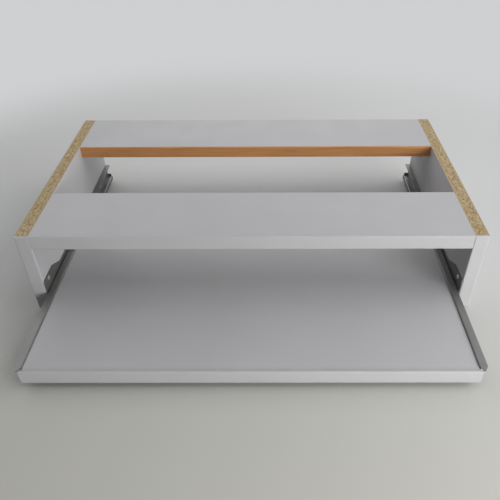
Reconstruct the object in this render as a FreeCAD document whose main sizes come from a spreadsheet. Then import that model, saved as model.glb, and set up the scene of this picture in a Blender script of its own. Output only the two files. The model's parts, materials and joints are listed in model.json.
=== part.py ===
"""Low pull-out shelf unit: a melamine-faced chipboard frame with a flat tray on two roller drawer slides.

Millimetres, X to the right, Y to the rear, Z up. The origin lies on the floor, midway between the sides
and midway between the front of the pulled-out tray and the rear of the frame. The right-hand pieces are
modelled, and the left-hand pieces are their mirror images.
"""
import FreeCAD, Part
import os
import re

import Sketcher
from FreeCAD import Rotation, Vector

DIMENSIONS = {
    # Chipboard frame
    "frame_width": 600,
    "frame_depth": 350,
    "frame_height": 120,
    "board": 18,
    "front_rail_depth": 106,
    "rear_rail_depth": 104,
    "band": 2,
    "band_round": 1.5,
    "band_overhang": 4,
    "band_drop": 2,
    # Tray: how far it stands out of the frame, above the floor and inside the side panels
    "tray_out": 140,
    "tray_lift": 8,
    "side_gap": 12.5,
    # Sheet steel of the slides, and how much of a slide stays engaged when it is fully open
    "steel": 1.2,
    "bend": 1.5,
    "overlap": 95,
    # Cabinet member: a channel with a raised plate at its front
    "track_height": 11.2,
    "track_width": 9,
    "track_lip": 7,
    "roof_width": 8,
    "roof_inset": 100,
    "plate_top": 46,
    "plate_length": 36,
    "ramp_length": 28,
    "plate_round": 4,
    "tab_width": 6,
    "tab_gap": 1,
    "stop_height": 4,
    "slot_length": 22,
    "slot_height": 4.6,
    # Drawer member: foot under the tray, web beside it and flange that runs on the cabinet roller
    "flange_rise": 2,
    "flange_gap": 1.5,
    "foot_width": 13.7,
    "member_setback": 0.5,
    "tip_width": 1.8,
    "clip_along": 6.5,
    # Rollers and the riveted pins that they turn on
    "roller_radius": 10,
    "roller_chamfer": 0.6,
    "roller_gap": 0.9,
    "run_gap": 0.3,
    "cabinet_inset": 16,
    "drawer_inset": 12,
    "notch_gap": 2,
    "recess_depth": 1,
    "recess_radius": 4.6,
    "pin_radius": 2.5,
    "pin_play": 0.05,
    "head_radius": 4,
    "head_length": 0.9,
    "head_play": 0.2,
    "cabinet_shoulder": 1.6,
    "drawer_shoulder": 0.8,
    # Chipboard screws of the slides
    "screw_radius": 1.75,
    "screw_length": 13,
    "screw_head_radius": 3.5,
    "screw_head_top": 2.6,
    "screw_head_height": 1,
    "screw_gap": 0.7,
    "cross_width": 0.8,
    "cross_length": 3.4,
    "cross_depth": 0.7,
    "hole_play": 0.4,
    "bore_play": 0.05,
    "plate_screw_inset": 16,
    "plate_screw_height": 40,
    "rear_screw_inset": 57,
    "foot_screw_inset": 50,
    # Confirmat screws between side panels and rails
    "confirmat_pitch": 64,
    "confirmat_head_radius": 5,
    "confirmat_head_height": 3,
    "confirmat_shank_radius": 3.5,
    "confirmat_core_radius": 2.5,
    "confirmat_grip": 32,
    "socket_radius": 2.3,
    "socket_depth": 3,
}

DERIVED = {
    # Planes of the frame and the tray along Y
    "front": "(tray_out - frame_depth) / 2",
    "rear": "front + frame_depth",
    "tray_front": "front - tray_out",
    "tray_rear": "tray_front + frame_depth",
    "ramp_end": "front + plate_length + ramp_length",
    "roof_start": "front + roof_inset",
    "open_rear": "front + overlap",
    "member_front": "tray_front + member_setback",
    "clip_end": "member_front + clip_along",
    # Planes across the right-hand slide, from the tray outwards
    "tray_side": "inner_face - side_gap",
    "drawer_web": "tray_side + steel",
    "cabinet_web": "inner_face - steel",
    "inner_face": "frame_width / 2 - board",
    "track_tip": "inner_face - track_width",
    "roof_tip": "inner_face - roof_width",
    "flange_tip": "cabinet_web - flange_gap",
    "clip_across": "(flange_tip - tray_side - tip_width) / 2",
    "foot_tip": "drawer_web - foot_width",
    "foot_middle": "foot_tip + foot_width / 2",
    # Heights of the slide
    "track_base": "track_height - steel",
    "roof_base": "track_height + run_gap * 2 + roller_radius * 2",
    "roof_top": "roof_base + steel",
    "foot_base": "tray_lift - steel",
    "flange_top": "tray_lift + board + flange_rise",
    "flange_base": "flange_top - steel",
    "cabinet_axis": "flange_base - run_gap - roller_radius",
    "drawer_axis": "track_height + run_gap + roller_radius",
    "rail_axis": "frame_height - board / 2",
    # Places of rollers, screws and stops along Y
    "cabinet_roller_y": "front + cabinet_inset",
    "drawer_roller_y": "tray_rear - drawer_inset",
    "track_start": "cabinet_roller_y + roller_radius + notch_gap",
    "flange_end": "drawer_roller_y - roller_radius - notch_gap",
    "stop_reach": "(roller_radius ^ 2 - (roller_radius + run_gap - stop_height) ^ 2) ^ 0.5",
    "out_stop": "open_rear - drawer_inset - stop_reach - tab_gap - steel",
    "plate_screw": "front + plate_screw_inset",
    "rear_screw": "rear - rear_screw_inset",
    "middle_screw": "(plate_screw + rear_screw) / 2",
    "front_slot": "(plate_screw + middle_screw * 3) / 4",
    "rear_slot": "(middle_screw + rear_screw) / 2",
    "foot_front": "tray_front + foot_screw_inset",
    "foot_rear": "tray_rear - foot_screw_inset",
    "foot_mid": "(foot_front + foot_rear) / 2",
    "front_rail_mid": "front + front_rail_depth / 2",
    "rear_rail_mid": "rear - rear_rail_depth / 2",
    # Rollers along their axis, and their bore
    "bore_radius": "pin_radius + pin_play",
    "cabinet_roller_in": "drawer_web + roller_gap",
    "cabinet_roller_out": "cabinet_web - cabinet_shoulder - head_play",
    "drawer_roller_in": "drawer_web + drawer_shoulder + head_play",
    "drawer_roller_out": "cabinet_web - screw_head_height - screw_gap",
}

ALONG_X = Rotation(Vector(0, 1, 0), 90)
TOLERANCE = 1e-4

doc = FreeCAD.newDocument("PullOutShelf")
sheet = doc.addObject("Spreadsheet::Sheet", "Dims")
nodes = []


def fill_sheet():
    """Write each driving dimension into the sheet as a plain number with an alias."""
    for row, (name, value) in enumerate(DIMENSIONS.items(), start=1):
        sheet.set(f"A{row}", name)
        sheet.set(f"B{row}", str(value))
        sheet.setAlias(f"B{row}", name)
    doc.recompute()


def expression(text):
    """Spell out derived names, and point driving names at the sheet."""
    def spell(match):
        word = match.group()
        if word in DERIVED:
            return f"({expression(DERIVED[word])})"
        return f"Dims.{word}"
    return re.sub(r"[a-z]+(?:_[a-z]+)*", spell, text)


def number(text):
    return float(sheet.evalExpression(expression(text)))


def bind(obj, **values):
    """Bind properties of an object to expressions, with double underscores for dots."""
    for path, text in values.items():
        obj.setExpression(path.replace("__", "."), expression(text))


def place(obj, x="0", y="0", z="0", rotation=None):
    """Put an object at a bound point, turned by a fixed rotation."""
    if rotation is not None:
        obj.Placement.Rotation = rotation
    bind(obj, Placement__Base__x=x, Placement__Base__y=y, Placement__Base__z=z)
    return obj


def keep(obj, label):
    """Name an object as a sub-part that is written out."""
    obj.Label = label
    nodes.append(obj)
    return obj


# Part primitives and booleans

def box(low, size):
    solid = doc.addObject("Part::Box", "Block")
    bind(solid, Length=size[0], Width=size[1], Height=size[2])
    return place(solid, *low)


def cylinder(radius, height):
    solid = doc.addObject("Part::Cylinder", "Rod")
    bind(solid, Radius=radius, Height=height)
    return solid


def cone(low_radius, high_radius, height):
    solid = doc.addObject("Part::Cone", "Taper")
    bind(solid, Radius1=low_radius, Radius2=high_radius, Height=height)
    return solid


def group(members):
    compound = doc.addObject("Part::Compound", "Group")
    compound.Links = members
    return compound


def fuse(members):
    fusion = doc.addObject("Part::MultiFuse", "Joined")
    fusion.Shapes = members
    return fusion


def cut(base, tool):
    result = doc.addObject("Part::Cut", "Bored")
    result.Base = base
    result.Tool = tool
    return result


def mirror(source):
    image = doc.addObject("Part::Mirroring", "Image")
    image.Source = source
    image.Normal = Vector(1, 0, 0)
    return image


def keep_pair(right, stem):
    """Keep a right-hand piece and its left-hand mirror image."""
    keep(right, f"{stem}_right")
    keep(mirror(right), f"{stem}_left")


# PartDesign bodies

def new_body():
    return doc.addObject("PartDesign::Body", "Body")


def sketch_on(body, plane, level=None):
    """Empty sketch on one of the body's origin planes, raised by a bound level."""
    support = next(item for item in body.Origin.OriginFeatures if item.Role == plane)
    sketch = body.newObject("Sketcher::SketchObject", "Sketch")
    sketch.AttachmentSupport = (support, [""])
    sketch.MapMode = "FlatFace"
    if level is not None:
        bind(sketch, AttachmentOffset__Base__z=level)
    return sketch


def pin_point(sketch, geometry, vertex, across, up):
    """Fix a point of a sketch at bound distances from the sketch's origin."""
    for kind, text in (("DistanceX", across), ("DistanceY", up)):
        rule = Sketcher.Constraint(kind, -1, 1, geometry, vertex, number(text))
        index = sketch.addConstraint(rule)
        sketch.setExpression(f"Constraints[{index}]", expression(text))


def outline(sketch, corners):
    """Closed outline through corners given as pairs of expressions."""
    points = [Vector(number(across), number(up), 0) for across, up in corners]
    first = sketch.GeometryCount
    for start, end in zip(points, points[1:] + points[:1]):
        sketch.addGeometry(Part.LineSegment(start, end), False)
    for index, (across, up) in enumerate(corners):
        following = first + (index + 1) % len(corners)
        sketch.addConstraint(Sketcher.Constraint("Coincident", first + index, 2, following, 1))
        pin_point(sketch, first + index, 1, across, up)
    return sketch


def circle(sketch, across, up, radius):
    centre = Vector(number(across), number(up), 0)
    index = sketch.addGeometry(Part.Circle(centre, Vector(0, 0, 1), number(radius)), False)
    pin_point(sketch, index, 3, across, up)
    rule = sketch.addConstraint(Sketcher.Constraint("Radius", index, number(radius)))
    sketch.setExpression(f"Constraints[{rule}]", expression(radius))
    return sketch


def rectangle(sketch, left, right, bottom, top):
    return outline(sketch, [(left, bottom), (right, bottom), (right, top), (left, top)])


def pad(body, sketch, length, backwards=False):
    feature = body.newObject("PartDesign::Pad", "Pad")
    feature.Profile = sketch
    bind(feature, Length=length)
    feature.Reversed = backwards
    return feature


def pocket(body, sketch):
    """Cut a sketch through the whole body, both ways, and make sure that it removes material."""
    doc.recompute()
    before = body.Shape.Volume
    feature = body.newObject("PartDesign::Pocket", "Pocket")
    feature.Profile = sketch
    feature.Type = "ThroughAll"
    feature.Midplane = True
    doc.recompute()
    if body.Shape.Volume > before - TOLERANCE:
        raise RuntimeError(f"{feature.Name} removes nothing")
    return feature


def fillet(body, base, radius, axis, corners):
    """Round the edges that run along an axis through the given corners of the cross-section."""
    doc.recompute()
    others = [index for index in range(3) if index != axis]
    targets = [tuple(number(text) for text in corner) for corner in corners]
    names = []
    for count, edge in enumerate(base.Shape.Edges, start=1):
        low = (edge.BoundBox.XMin, edge.BoundBox.YMin, edge.BoundBox.ZMin)
        high = (edge.BoundBox.XMax, edge.BoundBox.YMax, edge.BoundBox.ZMax)
        straight = all(high[index] - low[index] < TOLERANCE for index in others)
        spot = [low[index] for index in others]
        near = any(max(abs(spot[0] - u), abs(spot[1] - v)) < TOLERANCE for u, v in targets)
        if straight and near:
            names.append(f"Edge{count}")
    feature = body.newObject("PartDesign::Fillet", "Fillet")
    feature.Base = (base, names)
    bind(feature, Radius=radius)
    return feature


def turned(profile, y, z):
    """Body of revolution about an axis along X, from corners of X and radius."""
    body = new_body()
    sketch = outline(sketch_on(body, "XZ_Plane"), profile)
    feature = body.newObject("PartDesign::Revolution", "Revolution")
    feature.Profile = sketch
    feature.ReferenceAxis = (sketch, ["H_Axis"])
    feature.Angle = 360
    place(body, y=y, z=z)
    return body


# Chipboard frame and tray

def edge_band(low, size, axis, corners):
    """Strip of edging whose outer edges along one axis are rounded."""
    body = new_body()
    block = body.newObject("PartDesign::AdditiveBox", "Strip")
    bind(block, Length=size[0], Width=size[1], Height=size[2])
    fillet(body, block, "band_round", axis, corners)
    return place(body, *low)


def front_band(low, width, height):
    """Edging along a board's front, rounded along its top and bottom edges."""
    return edge_band(low, (width, "band", height), 0, [("0", "0"), ("0", height)])


def confirmat(y, play):
    """Countersunk furniture screw that points inwards from the outer face, or its bore with some play."""
    head = cone(f"confirmat_shank_radius + {play}", f"confirmat_head_radius + {play}", "confirmat_head_height")
    place(head, z="0 - confirmat_head_height")
    shank = cylinder(f"confirmat_shank_radius + {play}", "board - confirmat_head_height")
    place(shank, z="0 - board")
    core = cylinder(f"confirmat_core_radius + {play}", f"confirmat_grip + {play}")
    place(core, z=f"0 - board - confirmat_grip - {play}")
    return place(fuse([head, shank, core]), "frame_width / 2", y, "rail_axis", ALONG_X)


def socketed(screw, y):
    """Cut the hexagon socket into a confirmat screw's head."""
    socket = doc.addObject("Part::Prism", "Socket")
    socket.Polygon = 6
    bind(socket, Circumradius="socket_radius", Height="socket_depth * 2")
    place(socket, "frame_width / 2 - socket_depth", y, "rail_axis", ALONG_X)
    return cut(screw, socket)


def confirmat_places():
    """Two screws in each end of each rail."""
    middles = ("front_rail_mid", "rear_rail_mid")
    return [f"{middle} {sign} confirmat_pitch / 2" for middle in middles for sign in ("-", "+")]


def build_frame():
    """Side panels, rails, their edging and the screws that join them."""
    places = confirmat_places()
    bores = group([confirmat(y, "bore_play") for y in places])
    both_sides = group([bores, mirror(bores)])
    keep_pair(group([socketed(confirmat(y, "0"), y) for y in places]), "confirmat_screws")

    pilots = cabinet_pilots()
    panel = box(("inner_face", "front + band", "0"), ("board", "frame_depth - band", "frame_height"))
    keep_pair(cut(panel, group([bores] + pilots)), "side_panel")
    side_corners = [("0", "0"), ("board", "0")]
    band = edge_band(("inner_face", "front", "0"), ("board", "band", "frame_height"), 2, side_corners)
    keep_pair(band, "side_band")

    span = "inner_face * 2"
    rail_base = "frame_height - board"
    rails = (("front_rail", "front", "front_rail_depth"),
             ("rear_rail", "rear - rear_rail_depth", "rear_rail_depth"))
    for name, edge, depth in rails:
        board = box(("0 - inner_face", f"{edge} + band", rail_base), (span, f"{depth} - band", "board"))
        keep(cut(board, both_sides), name)
    low = ("0 - inner_face", "front", f"{rail_base} - band_drop")
    keep(front_band(low, span, "board + band_drop"), "front_rail_band")
    low = ("0 - inner_face", "rear - rear_rail_depth", rail_base)
    keep(front_band(low, span, "board"), "rear_rail_band")


def build_tray():
    """Tray board with bores for the screws of the drawer members, and its front edging, which is wider."""
    width = "tray_side * 2"
    board = box(("0 - tray_side", "tray_front + band", "tray_lift"), (width, "frame_depth - band", "board"))
    bores = group([bore(x="foot_middle", y=y, z="foot_base", rotation=None) for y in foot_places()])
    keep(cut(board, group([bores, mirror(bores)])), "tray_board")
    low = ("0 - tray_side - band_overhang", "tray_front", "tray_lift - band_drop")
    keep(front_band(low, f"{width} + band_overhang * 2", "board + band_drop"), "tray_front_band")


# Screws of the slides

def foot_places():
    return ["foot_front", "foot_mid", "foot_rear"]


def cabinet_places():
    """Screws of a cabinet member: one high on the front plate, two on the line of the channel."""
    return [("plate_screw", "plate_screw_height"), ("middle_screw", "drawer_axis"),
            ("rear_screw", "drawer_axis")]


def bore(x, y, z, rotation):
    """Pilot bore, from the seat of a screw's head."""
    return place(cylinder("screw_radius + bore_play", "screw_length + bore_play"), x, y, z, rotation)


def wood_screw(x, y, z, rotation):
    """Pan-head screw with a cross recess, whose shank follows the rotated Z axis from its head's seat."""
    shank = cylinder("screw_radius", "screw_length")
    head = place(cone("screw_head_top", "screw_head_radius", "screw_head_height"), z="0 - screw_head_height")
    slots = []
    for length, width in (("cross_length", "cross_width"), ("cross_width", "cross_length")):
        low = (f"0 - {length} / 2", f"0 - {width} / 2", "0 - screw_head_height * 2 + cross_depth")
        slots.append(box(low, (length, width, "screw_head_height")))
    return place(cut(fuse([shank, head]), fuse(slots)), x, y, z, rotation)


def cabinet_pilots():
    return [bore("cabinet_web", y, z, ALONG_X) for y, z in cabinet_places()]


def build_screws():
    cabinet = [wood_screw("cabinet_web", y, z, ALONG_X) for y, z in cabinet_places()]
    keep_pair(group(cabinet), "cabinet_screws")
    foot = [wood_screw("foot_middle", y, "foot_base", None) for y in foot_places()]
    keep_pair(group(foot), "drawer_screws")


# Sheet-steel members of the slides

def tab(body, left, right, bottom, top, y):
    """Small upright tab across the channel, one sheet thick, from a plane of Y towards the rear."""
    sketch = rectangle(sketch_on(body, "XZ_Plane", f"0 - ({y})"), left, right, bottom, top)
    return pad(body, sketch, "steel", backwards=True)


def slot(sketch, y, z):
    """Slot along Y with square ends, for adjusting the member."""
    return rectangle(sketch, f"{y} - slot_length / 2", f"{y} + slot_length / 2",
                     f"{z} - slot_height / 2", f"{z} + slot_height / 2")


def build_cabinet_member():
    """Channel on the side panel: web with a raised front plate, track, roof and stops."""
    body = new_body()
    web = outline(sketch_on(body, "YZ_Plane", "cabinet_web"), [
        ("front", "track_base"),
        ("rear", "track_base"),
        ("rear", "roof_top"),
        ("ramp_end", "roof_top"),
        ("front + plate_length", "plate_top"),
        ("front", "plate_top"),
    ])
    plate = pad(body, web, "steel")
    fillet(body, plate, "plate_round", 0, [("front", "plate_top"), ("front", "track_base"),
                                           ("front + plate_length", "plate_top")])
    track = outline(sketch_on(body, "XZ_Plane", "0 - track_start"), [
        ("track_tip", "track_height - track_lip"),
        ("track_tip + steel", "track_height - track_lip"),
        ("track_tip + steel", "track_base"),
        ("inner_face", "track_base"),
        ("inner_face", "track_height"),
        ("track_tip", "track_height"),
    ])
    lower = pad(body, track, "rear - track_start", backwards=True)
    rounded = fillet(body, lower, "bend", 1, [("track_tip", "track_height")])
    roof = rectangle(sketch_on(body, "XZ_Plane", "0 - roof_start"),
                     "roof_tip", "inner_face", "roof_base", "roof_top")
    pad(body, roof, "rear - roof_start", backwards=True)
    for y in ("out_stop", "rear - steel"):
        tab(body, "cabinet_web - tab_width", "inner_face", "track_base", "track_height + stop_height", y)

    holes = sketch_on(body, "YZ_Plane")
    for y, z in cabinet_places():
        circle(holes, y, z, "screw_radius + hole_play")
    circle(holes, "cabinet_roller_y", "cabinet_axis", "bore_radius")
    slot(holes, "front_slot", "drawer_axis")
    slot(holes, "rear_slot", "drawer_axis")
    pocket(body, holes)
    keep_pair(body, "cabinet_member")


def build_drawer_member():
    """Profile along the tray: foot under the board, web beside it and flange turned outwards."""
    body = new_body()
    section = outline(sketch_on(body, "XZ_Plane", "0 - member_front"), [
        ("foot_tip", "foot_base"),
        ("drawer_web", "foot_base"),
        ("drawer_web", "flange_base"),
        ("flange_tip", "flange_base"),
        ("flange_tip", "flange_top"),
        ("tray_side", "flange_top"),
        ("tray_side", "tray_lift"),
        ("foot_tip", "tray_lift"),
    ])
    profile = pad(body, section, "tray_rear - member_front", backwards=True)
    fillet(body, profile, "bend", 1, [("drawer_web", "foot_base"), ("tray_side", "flange_top")])

    notch = sketch_on(body, "XY_Plane")
    rectangle(notch, "drawer_web", "inner_face", "flange_end", "tray_rear + steel")
    outline(notch, [("flange_tip - clip_across", "member_front"), ("inner_face", "member_front"),
                    ("inner_face", "clip_end"), ("flange_tip", "clip_end")])
    outline(notch, [("tray_side + clip_across", "member_front"), ("tray_side", "clip_end"),
                    ("foot_tip", "clip_end"), ("foot_tip", "member_front")])
    pocket(body, notch)
    foot_holes = sketch_on(body, "XY_Plane")
    for y in foot_places():
        circle(foot_holes, "foot_middle", y, "screw_radius + hole_play")
    pocket(body, foot_holes)
    pin_hole = sketch_on(body, "YZ_Plane")
    circle(pin_hole, "drawer_roller_y", "drawer_axis", "bore_radius")
    pocket(body, pin_hole)
    keep_pair(body, "drawer_member")


# Rollers and their pins

def roller(recessed, plain, inward, outward):
    """Corners of a roller with a recess for the pin's head in one face; inward leads away from that face."""
    return [
        (f"{recessed} {inward} recess_depth", "bore_radius"),
        (plain, "bore_radius"),
        (plain, "roller_radius - roller_chamfer"),
        (f"{plain} {outward} roller_chamfer", "roller_radius"),
        (f"{recessed} {inward} roller_chamfer", "roller_radius"),
        (recessed, "roller_radius - roller_chamfer"),
        (recessed, "recess_radius"),
        (f"{recessed} {inward} recess_depth", "recess_radius"),
    ]


def rivet(recessed, inward, outward, web, back, shoulder):
    """Corners of a pin: head in the roller's recess, shank, shoulder against the web, tail in the web."""
    head_back = f"{recessed} {inward} recess_depth {outward} head_play"
    head_face = f"{head_back} {outward} head_length"
    return [
        (head_face, "0"),
        (head_face, "head_radius"),
        (head_back, "head_radius"),
        (head_back, "pin_radius"),
        (f"{web} {outward} {shoulder}", "pin_radius"),
        (f"{web} {outward} {shoulder}", "head_radius"),
        (web, "head_radius"),
        (web, "pin_radius"),
        (back, "pin_radius"),
        (back, "0"),
    ]


def build_rollers():
    """Front roller on each cabinet member and rear roller on each drawer member."""
    cabinet_profile = roller("cabinet_roller_in", "cabinet_roller_out", "+", "-")
    cabinet_pin = rivet("cabinet_roller_in", "+", "-", "cabinet_web", "inner_face", "cabinet_shoulder")
    drawer_profile = roller("drawer_roller_out", "drawer_roller_in", "-", "+")
    drawer_pin = rivet("drawer_roller_out", "-", "+", "drawer_web", "tray_side", "drawer_shoulder")
    keep_pair(turned(cabinet_profile, "cabinet_roller_y", "cabinet_axis"), "cabinet_roller")
    keep_pair(turned(cabinet_pin, "cabinet_roller_y", "cabinet_axis"), "cabinet_roller_pin")
    keep_pair(turned(drawer_profile, "drawer_roller_y", "drawer_axis"), "drawer_roller")
    keep_pair(turned(drawer_pin, "drawer_roller_y", "drawer_axis"), "drawer_roller_pin")


def check_document():
    """Stop if any object of the document failed, or a sub-part has no valid shape."""
    failed = [obj.Name for obj in doc.Objects if {"Invalid", "Error"} & set(obj.State)]
    bad = [obj.Label for obj in nodes if obj.Shape.isNull() or not obj.Shape.isValid()]
    if failed or bad:
        raise RuntimeError(f"failed objects {failed}, bad shapes {bad}")


def write_parts():
    os.makedirs("parts", exist_ok=True)
    for obj in nodes:
        obj.Shape.exportStep(os.path.join("parts", f"{obj.Label}.step"))
        print(f"{obj.Label}: {len(obj.Shape.Solids)} solid(s), {obj.Shape.Volume:.1f} mm3")


fill_sheet()
build_frame()
build_tray()
build_cabinet_member()
build_drawer_member()
build_rollers()
build_screws()
doc.recompute()
check_document()
write_parts()
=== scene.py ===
"""Looks of the pull-out shelf unit: melamine boards with raw chipboard edges, edge bands, roller slides.

Everything is in metres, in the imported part's own frame: X to the right, Y to the rear, Z up from the floor.
Each CAD node is replaced by a finer mesh of the same size, which moves with the same body.
"""

import json
from math import cos, pi, radians, sin, tan

import bmesh
import bpy
from mathutils import Euler, Matrix, Vector, noise


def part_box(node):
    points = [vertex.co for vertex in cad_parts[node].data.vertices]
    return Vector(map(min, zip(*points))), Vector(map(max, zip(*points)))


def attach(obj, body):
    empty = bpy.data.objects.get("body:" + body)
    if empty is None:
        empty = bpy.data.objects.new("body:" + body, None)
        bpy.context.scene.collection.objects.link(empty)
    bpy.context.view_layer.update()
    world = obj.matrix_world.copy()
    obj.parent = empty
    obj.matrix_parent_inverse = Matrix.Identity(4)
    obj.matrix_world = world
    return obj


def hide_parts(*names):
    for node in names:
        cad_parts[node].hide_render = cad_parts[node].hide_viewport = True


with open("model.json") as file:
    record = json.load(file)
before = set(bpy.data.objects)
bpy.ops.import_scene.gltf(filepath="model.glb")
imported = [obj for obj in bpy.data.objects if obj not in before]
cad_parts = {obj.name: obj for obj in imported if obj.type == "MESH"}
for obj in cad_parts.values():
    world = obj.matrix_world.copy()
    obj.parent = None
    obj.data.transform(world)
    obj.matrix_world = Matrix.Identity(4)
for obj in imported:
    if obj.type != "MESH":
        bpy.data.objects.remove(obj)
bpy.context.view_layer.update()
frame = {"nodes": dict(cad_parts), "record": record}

MM = 0.001
SIDES = {"left": -1, "right": 1}
SMOOTH_ANGLE = radians(32)

# Boards and their edging
CELL = 1.0 * MM                # grid of the raw chipboard edges
SKIN = 0.25 * MM               # melamine layer that shows along a sawn edge
ARRIS = 0.12 * MM              # broken corner of the melamine layer
BAND_ROUND = 1.5 * MM          # outer edges of the edge bands
BAND_ARRIS = 0.3 * MM          # back edges of the bands, which leave the glue line
BAND_TRIM = 0.3 * MM           # chamfer at the trimmed ends of the bands
PAINTED_SHADOW_LINE = 8.0 * MM           # reach of the painted shadow behind the band of the tray

# Slides
SHEET = 1.2 * MM               # thickness of the steel
STEEL_ARRIS = 0.14 * MM        # broken edges of the steel
TURN_STEPS = 96                # facets around a turned piece
BORE_RADIUS = 2.55 * MM
PIN_RADIUS = 2.5 * MM
RECESS_RADIUS = 4.6 * MM
RECESS_DEPTH = 1.0 * MM

# Screws: pitch, radii of core and thread, length of the tip
WOOD_SCREW = {"pitch": 1.4 * MM, "core": 1.15 * MM, "outer": 1.75 * MM, "tip": 2.6 * MM}
CROSS_WIDTH, CROSS_LENGTH, CROSS_DEPTH = 0.8 * MM, 3.4 * MM, 0.7 * MM    # recess in the head
CONFIRMAT = {"pitch": 3.0 * MM, "core": 2.0 * MM, "outer": 3.4 * MM, "tip": 3.0 * MM}
HEAD_EDGE, HEAD_DEPTH = 0.7 * MM, 3.0 * MM       # straight rim of the countersunk head, and the whole head
NECK_END, THREAD_START = 13.5 * MM, 15.0 * MM    # smooth neck of the screw, and where its thread begins
SOCKET_RADIUS, SOCKET_DEPTH = 2.3 * MM, 3.0 * MM
OUTSIDE = -1.0 * MM                              # how far cutters stand out of what they cut
THROUGH = 19.0 * MM                              # past the far face of a side panel
HEAD_BORE, NECK_BORE = 5.05 * MM, 3.55 * MM
CONFIRMAT_BORE = [(OUTSIDE, 0.0), (OUTSIDE, HEAD_BORE), (HEAD_EDGE, HEAD_BORE), (HEAD_DEPTH, NECK_BORE),
                  (THROUGH, NECK_BORE), (THROUGH, 0.0)]

nodes = frame["nodes"]
record = frame["record"]
SLOT_OF = {part["node"]: part["material_slot"] for part in record["subparts"]}
BODY_OF = {node: body for body, members in record["behaviour"]["bodies"].items() for node in members}


# ---------------------------------------------------------------- materials

class Shader:
    """A node material under construction: each method adds nodes and returns an output socket."""

    def __init__(self, name):
        self.material = bpy.data.materials.new(name)
        self.material.use_nodes = True
        self.tree = self.material.node_tree
        self.surface = self.tree.nodes["Principled BSDF"]
        coordinates = self.tree.nodes.new("ShaderNodeTexCoord")
        self.place = coordinates.outputs["Object"]
        self.share = coordinates.outputs["Generated"]

    def node(self, kind, **inputs):
        made = self.tree.nodes.new(kind)
        for name, value in inputs.items():
            self.feed(made.inputs[name.replace("_", " ")], value)
        return made

    def feed(self, socket, value):
        if isinstance(value, bpy.types.NodeSocket):
            self.tree.links.new(value, socket)
        else:
            socket.default_value = value

    def stretched(self, x, y, z):
        """Object coordinates scaled by three factors."""
        mapping = self.node("ShaderNodeMapping", Vector=self.place)
        mapping.inputs["Scale"].default_value = (x, y, z)
        return mapping.outputs["Vector"]

    def warped(self, vector, scale, reach):
        """Coordinates pushed about by noise, so that what follows them gets ragged outlines."""
        drift = self.node("ShaderNodeTexNoise", Vector=vector, Scale=scale, Detail=3.0, Roughness=0.6)
        centred = self.vectors("SUBTRACT", drift.outputs["Color"], (0.5, 0.5, 0.5))
        return self.vectors("ADD", vector, self.vectors("MULTIPLY", centred, (reach, reach, reach)))

    def noise(self, scale, detail=2.0, vector=None, roughness=0.5, distortion=0.0):
        made = self.node("ShaderNodeTexNoise", Vector=vector or self.place, Scale=scale, Detail=detail,
                         Roughness=roughness, Distortion=distortion)
        return made.outputs["Fac"]

    def cells(self, scale, vector=None, feature="F1", output="Distance"):
        made = self.tree.nodes.new("ShaderNodeTexVoronoi")
        made.feature = feature
        self.feed(made.inputs["Vector"], vector or self.place)
        self.feed(made.inputs["Scale"], scale)
        return made.outputs[output]

    def channel(self, value, axis):
        """One component of a vector or colour."""
        return self.node("ShaderNodeSeparateXYZ", Vector=value).outputs[axis]

    def ramp(self, value, low, high, floor=0.0, top=1.0):
        """Smoothly map value from low..high to floor..top."""
        made = self.node("ShaderNodeMapRange", Value=value)
        made.interpolation_type = "SMOOTHSTEP"
        for name, number in (("From Min", low), ("From Max", high), ("To Min", floor), ("To Max", top)):
            made.inputs[name].default_value = number
        return made.outputs["Result"]

    def colours(self, value, stops):
        """Colour ramp from (position, colour) pairs."""
        made = self.node("ShaderNodeValToRGB", Fac=value)
        for _ in stops[2:]:
            made.color_ramp.elements.new(1.0)
        for element, (position, colour) in zip(made.color_ramp.elements, stops):
            element.position = position
            element.color = (*colour, 1.0)
        return made.outputs["Color"]

    def blend(self, factor, one, two, mode="MIX"):
        made = self.tree.nodes.new("ShaderNodeMix")
        made.data_type = "RGBA"
        made.blend_type = mode
        self.feed(made.inputs["Factor"], factor)
        for socket, value in ((made.inputs[6], one), (made.inputs[7], two)):
            self.feed(socket, value if isinstance(value, bpy.types.NodeSocket) else (*value, 1.0))
        return made.outputs[2]

    def vectors(self, operation, one, two):
        made = self.tree.nodes.new("ShaderNodeVectorMath")
        made.operation = operation
        self.feed(made.inputs[0], one)
        self.feed(made.inputs[1], two)
        return made.outputs["Vector"]

    def maths(self, operation, one, two=0.0):
        made = self.tree.nodes.new("ShaderNodeMath")
        made.operation = operation
        self.feed(made.inputs[0], one)
        self.feed(made.inputs[1], two)
        return made.outputs[0]

    def bump(self, height, strength, distance, below=None):
        made = self.node("ShaderNodeBump", Height=height, Strength=strength, Distance=distance)
        if below is not None:
            self.feed(made.inputs["Normal"], below)
        return made.outputs["Normal"]

    def finish(self, colour, roughness, normal=None, metallic=0.0, specular=0.5):
        self.feed(self.surface.inputs["Base Color"], colour)
        self.feed(self.surface.inputs["Roughness"], roughness)
        self.surface.inputs["Metallic"].default_value = metallic
        self.surface.inputs["Specular IOR Level"].default_value = specular
        if normal is not None:
            self.feed(self.surface.inputs["Normal"], normal)
        return self.material


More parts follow.
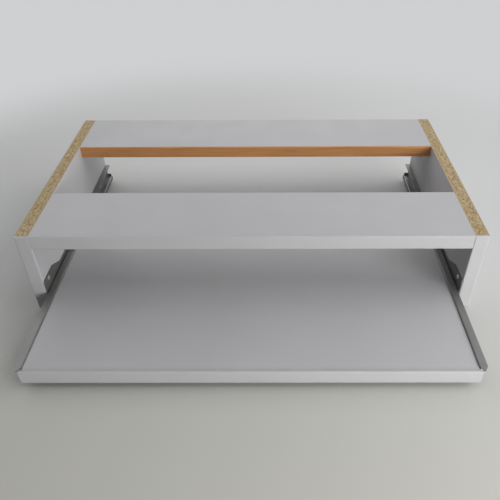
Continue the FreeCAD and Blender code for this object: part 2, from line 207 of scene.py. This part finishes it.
def melamine():
    """Grey-white melamine: pearly press texture, faint cloudiness, specks of dust and light scuffs.

    A soft painted shadow also lies in a line on the tray, behind the band at its front.
    """
    shader = Shader("melamine")
    clouds = shader.noise(7.0, detail=3.0)
    tone = shader.colours(clouds, ((0.3, (0.478, 0.474, 0.488)), (0.7, (0.506, 0.502, 0.514))))
    specks = shader.cells(420.0)
    dust = shader.maths("MULTIPLY", shader.ramp(specks, 0.05, 0.09, 1.0, 0.0),
                        shader.ramp(shader.noise(60.0), 0.60, 0.68))
    speckled = shader.blend(shader.maths("MULTIPLY", dust, 0.3), tone, (0.27, 0.26, 0.25))
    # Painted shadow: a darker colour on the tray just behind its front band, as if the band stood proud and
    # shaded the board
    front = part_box("tray_board")[0].y
    shaded_behind_band = shader.ramp(shader.channel(shader.place, 1), front, front + PAINTED_SHADOW_LINE, 0.55, 0.0)
    painted_band_shadow = shader.maths("MULTIPLY", shaded_behind_band, shader.ramp(shader.noise(45.0), 0.35, 0.60, 0.7, 1.0))
    colour = shader.blend(painted_band_shadow, speckled, (0.37, 0.36, 0.36))
    pearl = shader.noise(1500.0, detail=3.0)
    ripple = shader.noise(160.0, detail=2.0)
    normal = shader.bump(pearl, 0.22, 0.00006, shader.bump(ripple, 0.05, 0.0002))
    rubbed = shader.noise(24.0, detail=4.0)
    return shader.finish(colour, shader.ramp(rubbed, 0.3, 0.7, 0.50, 0.60), normal, specular=0.35)


def chipboard(name, flat):
    """Raw chipboard edge: flakes lie flat in the board, coarse in its core and fine near its faces."""
    shader = Shader(name)
    squash = [0.30, 0.30, 0.30]
    squash[flat] = 1.0
    along = shader.warped(shader.stretched(*squash), 900.0, 0.0011)
    depth = shader.maths("ABSOLUTE", shader.maths("SUBTRACT", shader.channel(shader.share, flat), 0.5))
    skin = shader.ramp(depth, 0.28, 0.42)

    coarse = shader.channel(shader.cells(780.0, vector=along, output="Color"), 0)
    fine = shader.channel(shader.cells(1900.0, vector=along, output="Color"), 0)
    core = shader.maths("ADD", shader.maths("MULTIPLY", coarse, 0.60), shader.maths("MULTIPLY", fine, 0.40))
    share = shader.maths("MULTIPLY", skin, 0.75)
    tint = shader.maths("ADD", shader.maths("MULTIPLY", core, shader.maths("SUBTRACT", 1.0, share)),
                        shader.maths("MULTIPLY", fine, share))
    wood = shader.colours(tint, ((0.06, (0.22, 0.135, 0.055)), (0.26, (0.40, 0.285, 0.140)),
                                 (0.52, (0.54, 0.415, 0.235)), (0.78, (0.65, 0.530, 0.340)),
                                 (1.0, (0.74, 0.645, 0.455))))
    squash[flat] = 3.0
    fibres = shader.noise(800.0, detail=5.0, vector=shader.stretched(*squash), roughness=0.7)
    grained = shader.blend(shader.ramp(fibres, 0.36, 0.68, 0.0, 0.40), wood, (0.29, 0.20, 0.10))
    faced = shader.blend(shader.maths("MULTIPLY", skin, 0.35), grained, (0.44, 0.345, 0.210))

    # Painted shade: the voids between flakes in the core are painted near black where the seams open
    seams = shader.cells(780.0, vector=along, feature="DISTANCE_TO_EDGE")
    loose = shader.ramp(shader.noise(330.0, detail=3.0), 0.50, 0.66)
    pit_shade = shader.maths("MULTIPLY", shader.ramp(seams, 0.02, 0.16, 0.85, 0.0), loose)
    core_pit_shade = shader.maths("MULTIPLY", pit_shade, shader.maths("SUBTRACT", 1.0, skin))
    colour = shader.blend(core_pit_shade, faced, (0.10, 0.058, 0.026))
    relief = shader.maths("ADD", shader.maths("MULTIPLY", tint, 0.7), shader.ramp(seams, 0.0, 0.12, 0.0, 0.6))
    normal = shader.bump(relief, 0.6, 0.00025, shader.bump(fibres, 0.6, 0.00012))
    return shader.finish(colour, 0.86, normal, specular=0.25)


def white_band():
    """White edge band: slightly glossier than the boards, with faint lines from the trimming knife."""
    shader = Shader("white_edge_band")
    tone = shader.colours(shader.noise(11.0, detail=3.0),
                          ((0.3, (0.495, 0.490, 0.502)), (0.7, (0.520, 0.515, 0.525))))
    lines = shader.noise(900.0, detail=2.0, vector=shader.stretched(0.02, 1.0, 1.0))
    pearl = shader.noise(2200.0)
    normal = shader.bump(lines, 0.06, 0.0001, shader.bump(pearl, 0.08, 0.00004))
    return shader.finish(tone, shader.ramp(shader.noise(40.0, detail=3.0), 0.3, 0.7, 0.38, 0.48), normal,
                         specular=0.4)


def beech_band():
    """Beech-coloured edge band: fine grain and short darker pores along its length."""
    shader = Shader("beech_edge_band")
    grain = shader.noise(420.0, detail=5.0, vector=shader.stretched(0.035, 1.0, 1.0), distortion=0.6)
    wood = shader.colours(grain, ((0.25, (0.42, 0.175, 0.050)), (0.5, (0.53, 0.240, 0.078)),
                                  (0.78, (0.61, 0.305, 0.112))))
    pores = shader.cells(900.0, vector=shader.stretched(0.10, 1.0, 1.0))
    colour = shader.blend(shader.ramp(pores, 0.10, 0.22, 0.45, 0.0), wood, (0.28, 0.105, 0.028))
    normal = shader.bump(grain, 0.12, 0.0001, shader.bump(pores, 0.08, 0.00008))
    return shader.finish(colour, shader.ramp(grain, 0.3, 0.7, 0.34, 0.46), normal)


def slide_steel():
    """Grey epoxy coat on sheet steel: fine orange peel, rolling lines underneath and a few rubbed patches."""
    shader = Shader("slide_steel")
    rolled = shader.noise(700.0, detail=3.0, vector=shader.stretched(1.0, 0.03, 1.0))
    patches = shader.noise(38.0, detail=5.0, roughness=0.65)
    tone = shader.colours(patches, ((0.3, (0.142, 0.142, 0.139)), (0.7, (0.190, 0.190, 0.185))))
    colour = shader.blend(shader.ramp(rolled, 0.4, 0.7, 0.0, 0.3), tone, (0.225, 0.224, 0.218))
    normal = shader.bump(rolled, 0.12, 0.00008, shader.bump(shader.noise(1500.0), 0.06, 0.00004))
    return shader.finish(colour, shader.ramp(patches, 0.3, 0.7, 0.38, 0.52), normal, metallic=0.6)


def zinc():
    """Bright zinc plating of the screws and rivets, slightly cloudy."""
    shader = Shader("zinc_fastener")
    clouds = shader.noise(420.0, detail=4.0)
    colour = shader.colours(clouds, ((0.3, (0.55, 0.55, 0.54)), (0.7, (0.74, 0.74, 0.72))))
    normal = shader.bump(shader.noise(2600.0, detail=3.0), 0.10, 0.00004)
    return shader.finish(colour, shader.ramp(clouds, 0.3, 0.7, 0.24, 0.38), normal, metallic=1.0)


def nylon():
    """Natural moulded nylon: milky, with a soft sheen and fine scratches around the tread."""
    shader = Shader("nylon")
    clouds = shader.noise(260.0, detail=3.0)
    colour = shader.colours(clouds, ((0.3, (0.56, 0.54, 0.48)), (0.7, (0.64, 0.62, 0.56))))
    scratches = shader.noise(1800.0, detail=2.0, vector=shader.stretched(1.0, 0.25, 0.25))
    normal = shader.bump(scratches, 0.12, 0.00005)
    shader.surface.inputs["Subsurface Weight"].default_value = 0.12
    shader.surface.inputs["Subsurface Radius"].default_value = (0.003, 0.003, 0.0025)
    return shader.finish(colour, shader.ramp(clouds, 0.3, 0.7, 0.38, 0.5), normal)


MATERIALS = {
    "melamine_board": melamine(),
    "white_edge_band": white_band(),
    "beech_edge_band": beech_band(),
    "grey_coated_steel": slide_steel(),
    "nylon": nylon(),
    "zinc_fastener": zinc(),
}
CHIPBOARD = {0: chipboard("chipboard_upright", 0), 2: chipboard("chipboard_flat", 2)}


# ---------------------------------------------------------------- mesh helpers

def to_mesh(bm, name, *materials):
    """Close a bmesh into a mesh with outward normals and smooth rounds."""
    bmesh.ops.recalc_face_normals(bm, faces=bm.faces)
    mesh = bpy.data.meshes.new(name)
    bm.to_mesh(mesh)
    bm.free()
    for material in materials:
        mesh.materials.append(material)
    mesh.shade_smooth()
    mesh.set_sharp_from_angle(angle=SMOOTH_ANGLE)
    return mesh


def modified(mesh, kind, **settings):
    """New mesh that one modifier makes of a mesh."""
    obj = bpy.data.objects.new(mesh.name, mesh)
    bpy.context.scene.collection.objects.link(obj)
    modifier = obj.modifiers.new(kind, kind)
    for name, value in settings.items():
        setattr(modifier, name, value)
    result = bpy.data.meshes.new_from_object(obj.evaluated_get(bpy.context.evaluated_depsgraph_get()))
    bpy.data.objects.remove(obj)
    return result


def show(node, mesh):
    """Put a finer mesh in a CAD node's place, on the same body and with the same finish."""
    even = modified(mesh, "WEIGHTED_NORMAL", keep_sharp=True)
    piece = bpy.data.objects.new(f"{node}_look", even)
    bpy.context.scene.collection.objects.link(piece)
    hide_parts(node)
    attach(piece, BODY_OF[node])


def carve(mesh, cutter):
    """Cut one mesh out of another."""
    tool = bpy.data.objects.new(cutter.name, cutter)
    bpy.context.scene.collection.objects.link(tool)
    result = modified(mesh, "BOOLEAN", solver="EXACT", operation="DIFFERENCE", object=tool)
    bpy.data.objects.remove(tool)
    result.shade_smooth()
    result.set_sharp_from_angle(angle=SMOOTH_ANGLE)
    return result


def join(meshes, places, name):
    """One mesh from several, each moved by its own matrix."""
    bm = bmesh.new()
    for mesh, place in zip(meshes, places):
        copy = mesh.copy()
        copy.transform(place)
        bm.from_mesh(copy)
        bpy.data.meshes.remove(copy)
    return to_mesh(bm, name, *meshes[0].materials)


def rounded(corners, radii, steps=6):
    """Closed outline through corners, where each corner becomes an arc of its own radius."""
    points = [Vector(corner) for corner in corners]
    outline = []
    for index, (corner, radius) in enumerate(zip(points, radii)):
        if not radius:
            outline.append(corner)
            continue
        before = (points[index - 1] - corner).normalized()
        after = (points[(index + 1) % len(points)] - corner).normalized()
        half = before.angle(after) / 2
        centre = corner + (before + after).normalized() * radius / sin(half)
        start = (corner + before * radius / tan(half) - centre).normalized()
        end = (corner + after * radius / tan(half) - centre).normalized()
        outline += [centre + start.slerp(end, step / steps) * radius for step in range(steps + 1)]
    return outline


def loft(bm, rings, closed=False):
    """Join rings of vertices, where a ring of one vertex is a pole, and optionally join last to first."""
    pairs = list(zip(rings, rings[1:]))
    if closed:
        pairs.append((rings[-1], rings[0]))
    for one, two in pairs:
        count = max(len(one), len(two))
        for index in range(count if count > 1 else 0):
            following = (index + 1) % count
            corners = [one[index % len(one)], one[following % len(one)],
                       two[following % len(two)], two[index % len(two)]]
            bm.faces.new(list(dict.fromkeys(corners)))


def lathe(name, profile, material, steps=TURN_STEPS, closed=False, swell=None):
    """Turn (height, radius) points about local Z; swell(height, angle) may add a thread to the radius."""
    bm = bmesh.new()
    rings = []
    for height, radius in profile:
        if radius < 1e-7:
            rings.append([bm.verts.new((0, 0, height))])
            continue
        ring = []
        for step in range(steps):
            angle = 2 * pi * step / steps
            reach = radius + (swell(height, angle) if swell else 0.0)
            ring.append(bm.verts.new((reach * cos(angle), reach * sin(angle), height)))
        rings.append(ring)
    loft(bm, rings, closed)
    return to_mesh(bm, name, material)


def solids_of(node):
    """Lowest and highest corners of each separate solid of a CAD node."""
    bm = bmesh.new()
    bm.from_mesh(nodes[node].data)
    bmesh.ops.remove_doubles(bm, verts=bm.verts, dist=1e-6)
    waiting = set(bm.verts)
    boxes = []
    while waiting:
        reached = [waiting.pop()]
        for vertex in reached:
            for edge in vertex.link_edges:
                other = edge.other_vert(vertex)
                if other in waiting:
                    waiting.remove(other)
                    reached.append(other)
        places = [vertex.co for vertex in reached]
        boxes.append((Vector(map(min, *places)), Vector(map(max, *places))))
    bm.free()
    return sorted(boxes, key=lambda box: box[0].y)


def along_x(x, centre, sign):
    """Matrix that stands local Z along +X or -X from a plane of X, on an axis through a point."""
    return Matrix.Translation((x, centre.y, centre.z)) @ Matrix.Rotation(sign * pi / 2, 4, "Y")


# ---------------------------------------------------------------- boards

def chip_depth(walked, across, thickness):
    """How far torn flakes and voids lie below the sawn plane of a chipboard edge.

    Flakes are a few millimetres long and about 1 mm thick, and the voids are deepest in the core.
    """
    place = Vector((walked * 240, across * 800, thickness * 100))
    flake = noise.cell(noise.voronoi(place)[1][0] * 9.7)
    core = min(across, thickness - across) / thickness
    voids = max(0.0, noise.noise(Vector((walked * 310, across * 520, 3.3))) - 0.18)
    return (0.02 + 0.05 * abs(flake) + 0.75 * voids * min(1.0, core * 5)) * MM


def chipped(walked, seed):
    """Small chips that the saw left in the melamine along an edge, in groups a few centimetres apart."""
    ragged = noise.noise(Vector((walked * 380, seed, 0.5)))
    rare = noise.noise(Vector((walked * 46, seed, 7.1)))
    return ARRIS + max(0.0, ragged - 0.12) * max(0.0, rare - 0.05) * 4.5 * MM


def stations_along(corners):
    """Stations one cell apart along straight legs: place, direction to the inside, distance walked."""
    middle = sum(corners, Vector((0.0, 0.0))) / len(corners)
    stations = []
    walked = 0.0
    for start, end in zip(corners, corners[1:]):
        leg = end - start
        inside = Vector((-leg.y, leg.x)).normalized()
        if inside.dot(middle - start) < 0:
            inside.negate()
        count = round(leg.length / CELL)
        for step in range(count):
            direction = inside if step else Vector((0.0, 0.0))
            stations.append((start + leg * step / count, direction, walked + leg.length * step / count))
        walked += leg.length
    stations.append((corners[-1], Vector((0.0, 0.0)), walked))
    return stations


def board(node, flat):
    """Board that is flat across one axis, with raw chipboard on its three edges without a band."""
    low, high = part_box(node)
    other = 2 - flat
    thickness = high[flat] - low[flat]
    corners = [Vector((low.y, low[other])), Vector((high.y, low[other])),
               Vector((high.y, high[other])), Vector((low.y, high[other]))]
    cells = round((thickness - 2 * SKIN) / CELL)
    rows = [0.0, *(SKIN + (thickness - 2 * SKIN) * step / cells for step in range(cells + 1)), thickness]
    seed = sum(map(ord, node)) * 0.37

    bm = bmesh.new()
    belt = []
    for place, inside, walked in stations_along(corners):
        ring = []
        for row, across in enumerate(rows):
            sunk = 0.0
            if row in (0, len(rows) - 1):
                sunk = chipped(walked, seed + row)
            elif 1 < row < len(rows) - 2:
                sunk = chip_depth(walked + seed, across, thickness)
            spot = place + inside * sunk
            point = [0.0, spot.x, 0.0]
            point[other] = spot.y
            point[flat] = low[flat] + across
            ring.append(bm.verts.new(point))
        belt.append(ring)
    for one, two in zip(belt, belt[1:]):
        for row in range(len(rows) - 1):
            face = bm.faces.new((one[row], two[row], two[row + 1], one[row + 1]))
            face.material_index = 0 if row in (0, len(rows) - 2) else 1
    bm.faces.new([ring[0] for ring in belt])
    bm.faces.new([ring[-1] for ring in belt])
    bm.faces.new(belt[0] + belt[-1][::-1])
    return to_mesh(bm, node, MATERIALS["melamine_board"], CHIPBOARD[flat])


def bore_cutter(bores, materials):
    """Cutter for bores, each a profile of (height, radius) points and a matrix."""
    parts = [lathe("bore", profile, materials[0], steps=48) for profile, _ in bores]
    bm = bmesh.new()
    for part, (_, place) in zip(parts, bores):
        part.transform(place)
        bm.from_mesh(part)
    for face in bm.faces:
        face.material_index = 1
    return to_mesh(bm, "bores", *materials)


# ---------------------------------------------------------------- edge bands

def shrunk(outline, inset):
    """Outline moved inwards by an inset, point by point."""
    moved = []
    for index, point in enumerate(outline):
        run = outline[(index + 1) % len(outline)] - outline[index - 1]
        moved.append(point + Vector((-run.y, run.x)).normalized() * inset)
    return moved


def band(node, long):
    """Edge band along X or Z, well rounded at its front and slightly at its back, with trimmed ends."""
    low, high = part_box(node)
    across = 2 - long
    corners = ((low.y, low[across]), (high.y, low[across]), (high.y, high[across]), (low.y, high[across]))
    outline = rounded(corners, (BAND_ROUND, BAND_ARRIS, BAND_ARRIS, BAND_ROUND), steps=8)
    length = high[long] - low[long]
    cuts = [(0.0, BAND_TRIM), (BAND_TRIM, 0.0), (length - BAND_TRIM, 0.0), (length, BAND_TRIM)]
    bm = bmesh.new()
    rings = []
    for distance, inset in cuts:
        ring = []
        for spot in shrunk(outline, inset):
            point = [0.0, spot.x, 0.0]
            point[across] = spot.y
            point[long] = low[long] + distance
            ring.append(bm.verts.new(point))
        rings.append(ring)
    loft(bm, rings)
    bm.faces.new(rings[0])
    bm.faces.new(rings[-1])
    show(node, to_mesh(bm, node, MATERIALS[SLOT_OF[node]]))


# ---------------------------------------------------------------- screws and rivets

def thread(kind, start, length):
    """Swell that winds a thread around a shank from a start height, fading in and out."""
    depth = kind["outer"] - kind["core"]

    def swell(height, angle):
        run = height - start
        if not 0 < run < length:
            return 0.0
        phase = (run / kind["pitch"] - angle / (2 * pi)) % 1.0
        ridge = max(0.0, 1.0 - abs(phase - 0.5) * 3.2)
        return depth * ridge * min(1.0, run / kind["pitch"], (length - run) / kind["tip"])
    return swell


def shank(kind, start, end):
    """Profile of a screw's threaded shank, finely divided, down to its point."""
    body = end - start - kind["tip"]
    count = round(body / kind["pitch"] * 8)
    profile = [(start + body * step / count, kind["core"]) for step in range(count + 1)]
    taper = [(0.5, 0.66), (0.9, 0.25), (1.0, 0.0)]
    return profile + [(start + body + kind["tip"] * share, kind["core"] * size) for share, size in taper]


def cross_recess(seat, width, length, depth):
    """Cutter for a cross recess that narrows with depth, sunk from a plane of Z upwards."""
    corners = [(1, 1), (1, 3), (-1, 3), (-1, 1), (-3, 1), (-3, -1),
               (-1, -1), (-1, -3), (1, -3), (1, -1), (3, -1), (3, 1)]
    bm = bmesh.new()
    rings = []
    for height, scale in ((seat - depth, 1.12), (seat + depth, 0.62)):
        points = [(x * width / 2 if abs(x) == 1 else x / 3 * length / 2 * scale,
                   y * width / 2 if abs(y) == 1 else y / 3 * length / 2 * scale) for x, y in corners]
        rings.append([bm.verts.new((x, y, height)) for x, y in points])
    loft(bm, rings)
    bm.faces.new(rings[0])
    bm.faces.new(rings[-1])
    return to_mesh(bm, "cross", MATERIALS["zinc_fastener"])


def wood_screw(length, head, radius):
    """Pan-head screw whose seat is at local zero and whose point is up along Z."""
    dome = rounded([(-head, 0.0), (-head, radius * 0.72), (-head * 0.45, radius), (0.0, radius), (0.0, 0.0)],
                   (0, head * 0.5, head * 0.3, head * 0.08, 0))
    start = WOOD_SCREW["core"] * 0.2
    profile = [tuple(point) for point in dome[:-1]] + [(0.0, WOOD_SCREW["outer"])]
    profile += shank(WOOD_SCREW, start, length)
    solid = lathe("wood_screw", profile, MATERIALS["zinc_fastener"], steps=48,
                  swell=thread(WOOD_SCREW, start, length - start))
    return carve(solid, cross_recess(-head, CROSS_WIDTH, CROSS_LENGTH, CROSS_DEPTH))


def confirmat(length, radius):
    """Countersunk furniture screw with a hexagon socket, flush at local zero, with its point up along Z."""
    neck, slope, point = CONFIRMAT["outer"], 1.0 * MM, 0.7 * MM
    bevel_depth, bevel_width = 0.12 * MM, 0.25 * MM
    profile = [(0.0, 0.0), (0.0, radius - bevel_width), (bevel_depth, radius), (HEAD_EDGE, radius),
               (HEAD_DEPTH, neck), (NECK_END, neck), (NECK_END + slope, CONFIRMAT["core"])]
    solid = lathe("confirmat", profile + shank(CONFIRMAT, THREAD_START, length), MATERIALS["zinc_fastener"],
                  steps=48, swell=thread(CONFIRMAT, THREAD_START, length - THREAD_START))
    socket = lathe("socket", [(OUTSIDE, 0.0), (OUTSIDE, SOCKET_RADIUS), (SOCKET_DEPTH, SOCKET_RADIUS),
                              (SOCKET_DEPTH + point, 0.0)], MATERIALS["zinc_fastener"], steps=6)
    return carve(solid, socket)


def set_screws(node, mesh, places):
    show(node, join([mesh] * len(places), places, node))


def rivet(node, pin, planes, head_first):
    """Riveted pin from five planes: head face, head back, shoulder, web front and web back."""
    low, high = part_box(node)
    head = (high.z - low.z) / 2
    face, back, shoulder, web, end = (abs(plane - planes[0]) for plane in planes)
    dimple, dimple_floor, dimple_rim = 0.25 * MM, 0.9 * MM, 1.25 * MM
    dome, soft = 0.45 * MM, 0.2 * MM
    corners = [(face + dimple, 0.0), (face + 0.88 * dimple, dimple_floor), (face, dimple_rim), (face, head),
               (back, head), (back, pin), (shoulder, pin), (shoulder, head), (web, head), (web, pin),
               (end, pin), (end, 0.0)]
    radii = (0, soft, 0.1 * MM, dome, 0.15 * MM, 0, 0, soft, soft, 0, soft, 0)
    outline = rounded(corners, radii)
    mesh = lathe(node, [tuple(point) for point in outline], MATERIALS["zinc_fastener"], steps=64)
    mesh.transform(along_x(planes[0], (low + high) / 2, head_first))
    show(node, mesh)


def roller(node, recessed, direction):
    """Moulded roller: recess for the pin's head, lightening rings in both faces, rounded tread, part line."""
    low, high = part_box(node)
    width, radius = high.x - low.x, (high.z - low.z) / 2
    hub, rim, ring = 5.7 * MM, 8.5 * MM, 0.5 * MM
    line, dent = 0.15 * MM, 0.08 * MM
    middle = width / 2
    corners = [
        (RECESS_DEPTH, BORE_RADIUS), (width, BORE_RADIUS), (width, hub), (width - ring, hub + ring / 2),
        (width - ring, rim - ring / 2), (width, rim), (width, radius), (middle + line, radius),
        (middle, radius - dent), (middle - line, radius), (0.0, radius), (0.0, rim), (ring, rim - ring / 2),
        (ring, hub + ring / 2), (0.0, hub), (0.0, RECESS_RADIUS), (RECESS_DEPTH, RECESS_RADIUS),
    ]
    soft, tread = 0.12 * MM, 0.7 * MM
    radii = [0, soft, soft, soft, soft, soft, tread, 0, 0, 0, tread, soft, soft, soft, soft, soft, soft]
    profile = [tuple(point) for point in rounded(corners, radii, steps=4)]
    mesh = lathe(node, profile, MATERIALS["nylon"], closed=True)
    mesh.transform(along_x(recessed, (low + high) / 2, direction))
    show(node, mesh)


# ---------------------------------------------------------------- sheet steel

def refined(node, arris):
    """Copy of a sheet-steel member with whole faces and softly broken edges."""
    bm = bmesh.new()
    bm.from_mesh(nodes[node].data)
    bmesh.ops.remove_doubles(bm, verts=bm.verts, dist=1e-6)
    bmesh.ops.dissolve_limit(bm, angle_limit=radians(1), verts=bm.verts, edges=bm.edges)
    sharp = [edge for edge in bm.edges if edge.is_manifold and edge.calc_face_angle() > radians(40)]
    bmesh.ops.bevel(bm, geom=sharp, offset=arris, segments=2, profile=0.5, affect="EDGES", clamp_overlap=True)
    show(node, to_mesh(bm, node, MATERIALS[SLOT_OF[node]]))


# ---------------------------------------------------------------- the object

def planes_of(node, sign):
    """Planes of X at which a turned CAD piece changes, from the tray outwards."""
    found = sorted({round(abs(vertex.co.x), 6) for vertex in nodes[node].data.vertices})
    return [sign * plane for plane in found]


def build_boards():
    for side, sign in SIDES.items():
        bores = []
        for low, high in solids_of(f"confirmat_screws_{side}"):
            outer = high.x if sign > 0 else low.x
            bores.append((CONFIRMAT_BORE, along_x(outer, (low + high) / 2, -sign)))
        panel = f"side_panel_{side}"
        materials = (MATERIALS["melamine_board"], CHIPBOARD[0])
        show(panel, carve(board(panel, 0), bore_cutter(bores, materials)))
        band(f"side_band_{side}", 2)
    for name in ("front_rail", "rear_rail"):
        show(name, board(name, 2))
        band(f"{name}_band", 0)
    show("tray_board", board("tray_board", 2))
    band("tray_front_band", 0)


def build_slides():
    for side, sign in SIDES.items():
        refined(f"cabinet_member_{side}", STEEL_ARRIS)
        refined(f"drawer_member_{side}", STEEL_ARRIS)
        for kind in ("cabinet", "drawer"):
            low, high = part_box(f"{kind}_roller_{side}")
            inner, outer = sorted((low.x, high.x), key=abs)
            pin = f"{kind}_roller_pin_{side}"
            planes = planes_of(pin, sign)
            if kind == "cabinet":
                roller(f"{kind}_roller_{side}", inner, sign)
                rivet(pin, PIN_RADIUS, planes, sign)
            else:
                roller(f"{kind}_roller_{side}", outer, -sign)
                rivet(pin, PIN_RADIUS, planes[::-1], -sign)


def build_screws():
    for side, sign in SIDES.items():
        node = f"cabinet_screws_{side}"
        boxes = solids_of(node)
        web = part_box(f"cabinet_member_{side}")
        seat = sign * (max(abs(web[0].x), abs(web[1].x)) - SHEET)
        low, high = boxes[0]
        length = max(abs(low.x), abs(high.x)) - abs(seat)
        head = abs(seat) - min(abs(low.x), abs(high.x))
        radius = (high.z - low.z) / 2
        screw = wood_screw(length, head, radius)
        set_screws(node, screw, [along_x(seat, (low + high) / 2, sign) for low, high in boxes])

        node = f"drawer_screws_{side}"
        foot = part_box(f"drawer_member_{side}")[0].z
        places = []
        for low, high in solids_of(node):
            middle = (low + high) / 2
            places.append(Matrix.Translation((middle.x, middle.y, foot)))
        set_screws(node, screw, places)

        node = f"confirmat_screws_{side}"
        places = []
        for low, high in solids_of(node):
            outer = sign * max(abs(low.x), abs(high.x))
            places.append(along_x(outer, (low + high) / 2, -sign))
        low, high = solids_of(node)[0]
        set_screws(node, confirmat(high.x - low.x, (high.z - low.z) / 2), places)


# ---------------------------------------------------------------- stage, lights and camera

def seen_directly(tree):
    """1 for camera, glossy and transmission rays, and 0 for rays that carry light to the object."""
    path = tree.nodes.new("ShaderNodeLightPath")
    seen = path.outputs["Is Camera Ray"]
    for ray in ("Is Glossy Ray", "Is Transmission Ray"):
        either = tree.nodes.new("ShaderNodeMath")
        either.operation = "MAXIMUM"
        tree.links.new(seen, either.inputs[0])
        tree.links.new(path.outputs[ray], either.inputs[1])
        seen = either.outputs[0]
    return seen


def make_floor():
    """Pale floor just under the object, with painted light that makes it darker and warmer in front and
    lighter towards the rear, which fades into the surrounding further away.
    """
    mesh = bpy.data.meshes.new("floor")
    reach, rise = 6.0, -0.0002
    corners = [(-reach, -reach, rise), (reach, -reach, rise), (reach, reach, rise), (-reach, reach, rise)]
    mesh.from_pydata(corners, [], [(0, 1, 2, 3)])
    floor = bpy.data.objects.new("floor", mesh)
    bpy.context.scene.collection.objects.link(floor)
    shader = Shader("floor")
    # Painted light: the floor's colour is darker and warmer in front of the object and lighter behind it
    painted_light = shader.ramp(shader.channel(shader.place, 1), *FLOOR_PAINTED_LIGHT, 1.0, 0.0)
    shade = shader.maths("ADD", painted_light, shader.maths("MULTIPLY", shader.noise(3.0, detail=3.0), 0.15))
    colour = shader.colours(shade, ((0.0, (0.635, 0.645, 0.640)), (1.0, (0.555, 0.550, 0.505))))
    mesh.materials.append(shader.finish(colour, 0.7, specular=0.25))

    away = shader.tree.nodes.new("ShaderNodeVectorMath")
    away.operation = "LENGTH"
    shader.feed(away.inputs[0], shader.place)
    far = shader.ramp(away.outputs["Value"], *FLOOR_FADE)
    haze = shader.node("ShaderNodeEmission", Color=(*SURROUNDING, 1.0), Strength=SURROUNDING_SEEN)
    both = shader.node("ShaderNodeMixShader", Fac=shader.maths("MULTIPLY", far, seen_directly(shader.tree)))
    shader.feed(both.inputs[1], shader.surface.outputs["BSDF"])
    shader.feed(both.inputs[2], haze.outputs["Emission"])
    shader.feed(shader.tree.nodes["Material Output"].inputs["Surface"], both.outputs["Shader"])


# Lamps of the studio: place, size across and power, all aimed at the middle of the object
LAMPS = {
    "overhead": ((0.0, 0.0, 2.0), 1.6, 7.0),
    "rear": ((0.1, 1.9, 0.8), 1.4, 8.2),
    "rear_right": ((1.0, 1.4, 1.2), 1.4, 4.8),
    "rear_left": ((-0.9, 1.5, 1.0), 1.2, 4.4),
    "right": ((1.6, 0.2, 1.2), 1.6, 14.8),
    "left": ((-1.4, 0.8, 1.2), 1.2, 5.0),
    "window": ((0.9, -0.75, 0.35), 0.5, 6.0),
    "front": ((0.5, -1.3, 0.25), 0.5, 6.2),
}
SURROUNDING = (0.96, 0.98, 1.0)
SURROUNDING_LIGHT = 0.04       # what the surrounding adds to the lamps
SURROUNDING_SEEN = 0.64        # how pale it looks to the eye and in reflections
FLOOR_FADE = (0.6, 1.0)        # distances over which the floor fades into it
FLOOR_PAINTED_LIGHT = (-0.5, 0.1)     # Y from where the floor is painted darker and warm to where it is painted lighter and neutral


def make_lights():
    """Soft lamps around the object, strongest on its right, with a small low one as of a window in front."""
    for name, (place, size, power) in LAMPS.items():
        lamp = bpy.data.lights.new(name, "AREA")
        lamp.size = size
        lamp.energy = power
        obj = bpy.data.objects.new(name, lamp)
        obj.location = place
        obj.rotation_euler = (Vector((0.0, 0.0, 0.05)) - Vector(place)).to_track_quat("-Z", "Y").to_euler()
        obj.visible_camera = False
        bpy.context.scene.collection.objects.link(obj)


def make_surrounding():
    """World that lights the object a little and looks paler to camera, glossy and transmission rays."""
    world = bpy.data.worlds.new("surrounding")
    world.use_nodes = True
    tree = world.node_tree
    strength = tree.nodes.new("ShaderNodeMapRange")
    strength.inputs["To Min"].default_value = SURROUNDING_LIGHT
    strength.inputs["To Max"].default_value = SURROUNDING_SEEN
    tree.links.new(seen_directly(tree), strength.inputs["Value"])
    background = tree.nodes["Background"]
    background.inputs["Color"].default_value = (*SURROUNDING, 1.0)
    tree.links.new(strength.outputs["Result"], background.inputs["Strength"])
    bpy.context.scene.world = world


# Camera, held by hand in front of the object: lens on a 36 mm frame and how far the picture is shifted,
# how far it looks down, turns and rolls, and where it is from the front top edge of the frame
LENS = 39.18
SHIFT = (-0.036, 0.05)
DOWN, TURN, ROLL = radians(39.71), radians(0.378), radians(-0.356)
ACROSS, BEFORE, ABOVE = 0.0244, 0.5566, 0.3997


def make_camera():
    """Hand-held view from the front, looking down on the tray."""
    front_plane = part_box("front_rail_band")[0].y
    top_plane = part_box("front_rail")[1].z
    camera = bpy.data.cameras.new("camera")
    camera.sensor_width = 36.0
    camera.lens = LENS
    camera.shift_x, camera.shift_y = SHIFT
    obj = bpy.data.objects.new("camera", camera)
    aim = Euler((pi / 2 - DOWN, 0.0, TURN)).to_matrix().to_4x4()
    spot = Matrix.Translation((ACROSS, front_plane - BEFORE, top_plane + ABOVE))
    obj.matrix_world = spot @ aim @ Matrix.Rotation(ROLL, 4, "Z")
    bpy.context.scene.collection.objects.link(obj)
    bpy.context.scene.camera = obj


build_boards()
build_slides()
build_screws()
make_floor()
make_lights()
make_surrounding()
make_camera()
bpy.context.scene.view_settings.view_transform = "Standard"
